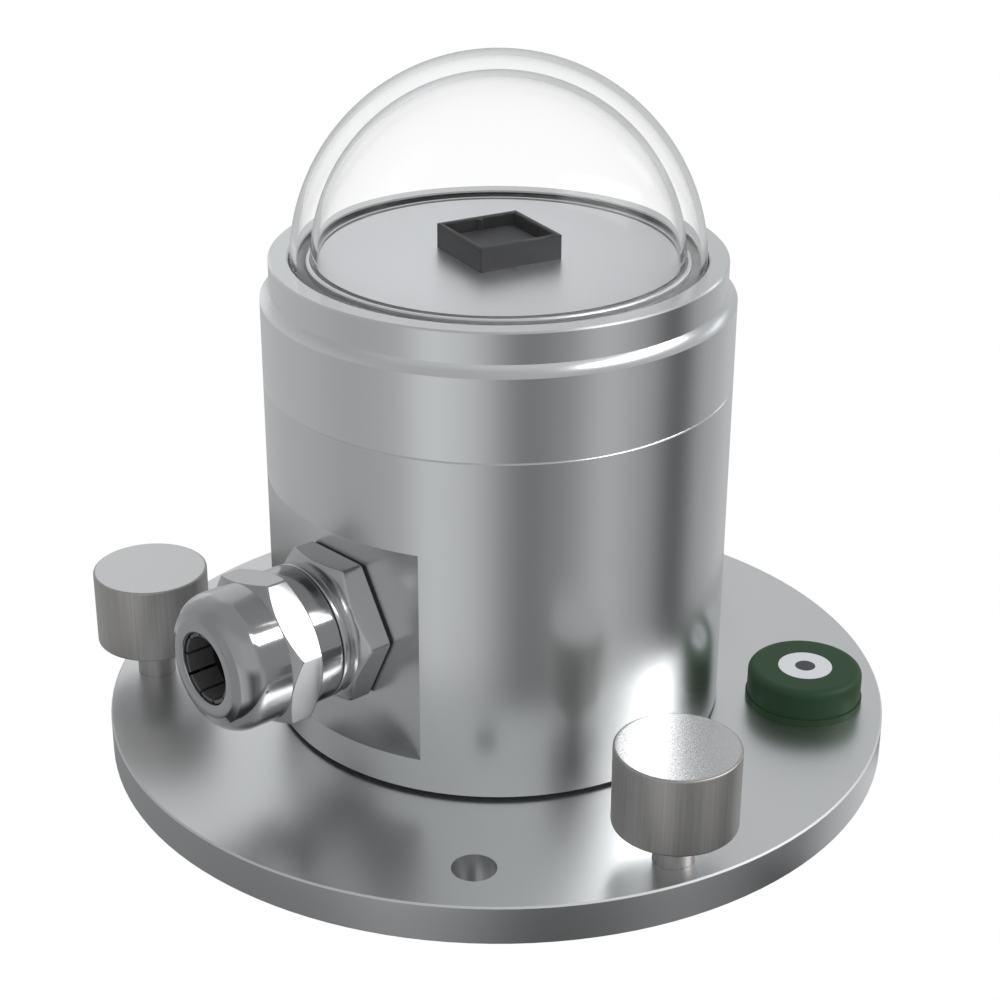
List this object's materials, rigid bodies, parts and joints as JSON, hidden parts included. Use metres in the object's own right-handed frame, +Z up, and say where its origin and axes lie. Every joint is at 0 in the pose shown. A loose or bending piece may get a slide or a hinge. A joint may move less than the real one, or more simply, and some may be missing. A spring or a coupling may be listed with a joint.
{
  "type": "pyranometer",
  "caption": "Pyranometer with glass domes over a square black detector, a turned metal housing with cable gland, and a round base with bullseye level and levelling screws.",
  "frame": {"origin": "centre of the base plate's underside", "axes": "+Z up through the domes, Y through the two mounting holes, X towards the bullseye level"},
  "size_m": [0.1024, 0.1, 0.0878],
  "materials": {
    "base_metal": "satin turned aluminium",
    "housing_metal": "satin turned aluminium",
    "collar_metal": "satin turned aluminium",
    "plate_metal": "fine satin aluminium",
    "knob_metal": "brushed steel",
    "gland_metal": "polished nickel plate",
    "screw_steel": "plain stainless steel",
    "brass": "bright brass",
    "dome_glass": "clear polished glass",
    "bond": "matt",
    "seal_rubber": "matt",
    "detector_black": "matt black",
    "absorber_black": "matt black coating",
    "thermopile_block": "matt",
    "insert_plastic": "matt",
    "foot_plastic": "natural nylon",
    "level_green": "soft gloss",
    "level_white": "soft gloss",
    "level_eye": "gloss",
    "board_green": "solder mask",
    "chip_black": "matt",
    "capacitor_blue": "gloss sleeve",
    "terminal_plastic": "matt",
    "lead_red": "gloss"
  },
  "bodies": {
    "instrument": {"base_plate": "base_metal", "base_gasket": "seal_rubber", "housing": "housing_metal", "housing_screws": "screw_steel", "collar": "collar_metal", "collar_oring": "seal_rubber", "sensor_carrier": "plate_metal", "outer_dome": "dome_glass", "inner_dome": "dome_glass", "outer_dome_seal": "bond", "inner_dome_seal": "bond", "detector_frame": "detector_black", "absorber": "absorber_black", "thermopile": "thermopile_block", "heat_sink": "plate_metal", "heat_sink_screws": "screw_steel", "sensor_leads": "lead_red", "circuit_board": "board_green", "amplifier_chip": "chip_black", "board_capacitors": "capacitor_blue", "terminal_block": "terminal_plastic", "terminal_screws": "screw_steel", "board_pillars": "brass", "board_screws": "screw_steel", "gland_gasket": "seal_rubber", "gland_body": "gland_metal", "gland_nut": "gland_metal", "gland_insert": "insert_plastic", "gland_seal": "seal_rubber", "level_case": "level_green", "level_target": "level_white", "level_vial": "level_eye"},
    "foot_1": {"levelling_foot_1": "foot_plastic"},
    "screw_1": {"levelling_screw_1": "knob_metal"},
    "foot_2": {"levelling_foot_2": "foot_plastic"},
    "screw_2": {"levelling_screw_2": "knob_metal"},
    "foot_3": {"levelling_foot_3": "foot_plastic"},
    "screw_3": {"levelling_screw_3": "knob_metal"}
  },
  "joints": [
    {"name": "foot_1_travel", "type": "slide", "parent": "instrument", "child": "foot_1", "axis": [0, 0, -1], "range_m": [0, 0.0048]},
    {"name": "screw_1_turn", "type": "hinge", "parent": "foot_1", "child": "screw_1", "pos_m": [0.02253, 0.03903, 0.015], "axis": [0, 0, -1], "range_deg": [0, 2160]},
    {"name": "foot_2_travel", "type": "slide", "parent": "instrument", "child": "foot_2", "axis": [0, 0, -1], "range_m": [0, 0.0048]},
    {"name": "screw_2_turn", "type": "hinge", "parent": "foot_2", "child": "screw_2", "pos_m": [-0.04507, 0, 0.015], "axis": [0, 0, -1], "range_deg": [0, 2160]},
    {"name": "foot_3_travel", "type": "slide", "parent": "instrument", "child": "foot_3", "axis": [0, 0, -1], "range_m": [0, 0.0048]},
    {"name": "screw_3_turn", "type": "hinge", "parent": "foot_3", "child": "screw_3", "pos_m": [0.02253, -0.03903, 0.015], "axis": [0, 0, -1], "range_deg": [0, 2160]}
  ],
  "couplings": [
    {"joint": "foot_1_travel", "follows": "screw_1_turn", "m_per_rad": 0.00012732},
    {"joint": "foot_2_travel", "follows": "screw_2_turn", "m_per_rad": 0.00012732},
    {"joint": "foot_3_travel", "follows": "screw_3_turn", "m_per_rad": 0.00012732}
  ]
}
